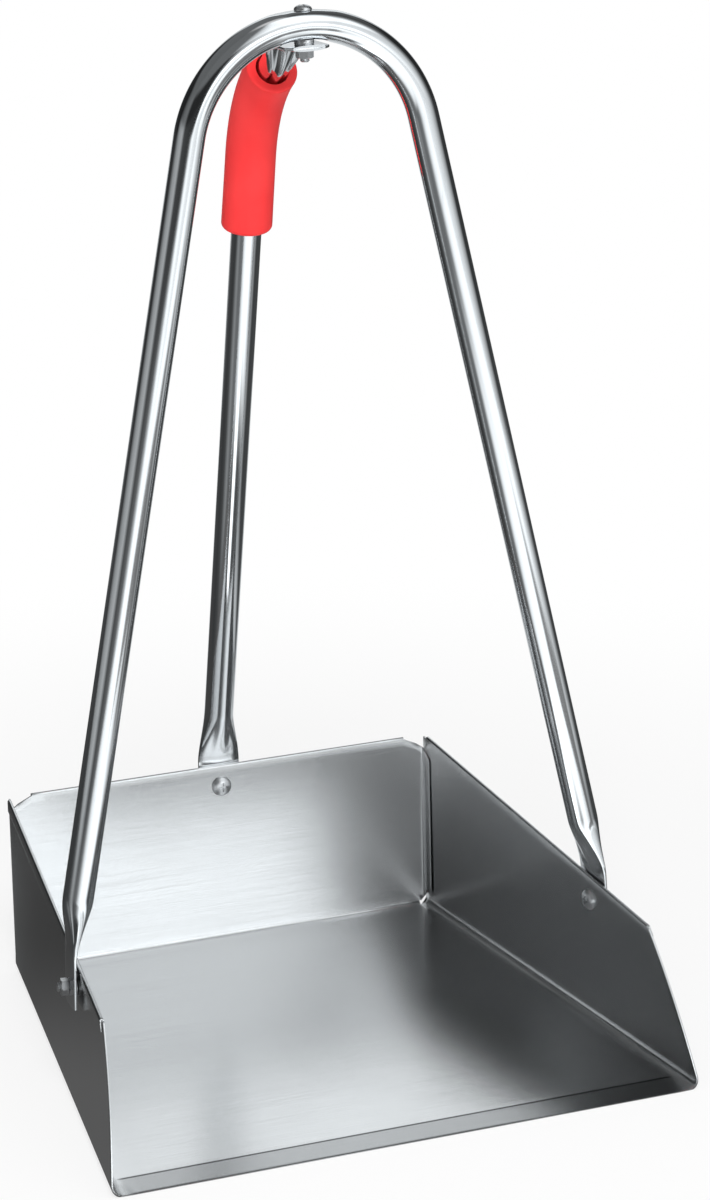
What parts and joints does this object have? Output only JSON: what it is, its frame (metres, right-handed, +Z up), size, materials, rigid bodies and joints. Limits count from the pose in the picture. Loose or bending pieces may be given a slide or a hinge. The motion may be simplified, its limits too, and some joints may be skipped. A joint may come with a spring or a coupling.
{
  "type": "lobby dustpan",
  "caption": "Folded steel dustpan with a thinned lip, carried by a bolted tube handle whose hoop and rear tube meet above the pan, with a soft grip sleeve.",
  "frame": {"origin": "middle of the floor's underside, where the pan rests on the ground", "axes": "+Z up, +Y from the lip to the back wall, +X to the right seen from the lip"},
  "size_m": [0.319, 0.2885, 0.5563],
  "materials": {
    "sheet": "brushed",
    "tube": "polished",
    "fasteners": "bright",
    "grip": "satin"
  },
  "bodies": {
    "dustpan": {"pan": "sheet", "hoop": "tube", "rear_handle": "tube", "grip": "grip", "left_screw": "fasteners", "left_washer": "fasteners", "right_screw": "fasteners", "right_washer": "fasteners", "rear_screw": "fasteners", "rear_washer": "fasteners", "top_bolt": "fasteners", "top_washer": "fasteners"},
    "left_nut": {"left_nut": "fasteners"},
    "right_nut": {"right_nut": "fasteners"},
    "rear_nut": {"rear_nut": "fasteners"},
    "top_nut": {"top_nut": "fasteners"}
  },
  "joints": [
    {"name": "left_nut_turn", "type": "hinge", "parent": "dustpan", "child": "left_nut", "pos_m": [-0.15113, -0.0348, 0.06965], "axis": [-0.9914, 0.1271, 0.0297], "continuous": true},
    {"name": "right_nut_turn", "type": "hinge", "parent": "dustpan", "child": "right_nut", "pos_m": [0.15113, -0.0348, 0.06965], "axis": [0.9914, 0.1271, 0.0297], "continuous": true},
    {"name": "rear_nut_turn", "type": "hinge", "parent": "dustpan", "child": "rear_nut", "pos_m": [0, 0.14787, 0.08949], "axis": [0, 0.9983, -0.0576], "continuous": true},
    {"name": "top_nut_turn", "type": "hinge", "parent": "dustpan", "child": "top_nut", "pos_m": [0, 0.00919, 0.53194], "axis": [0, 0.0958, 0.9954], "continuous": true}
  ]
}
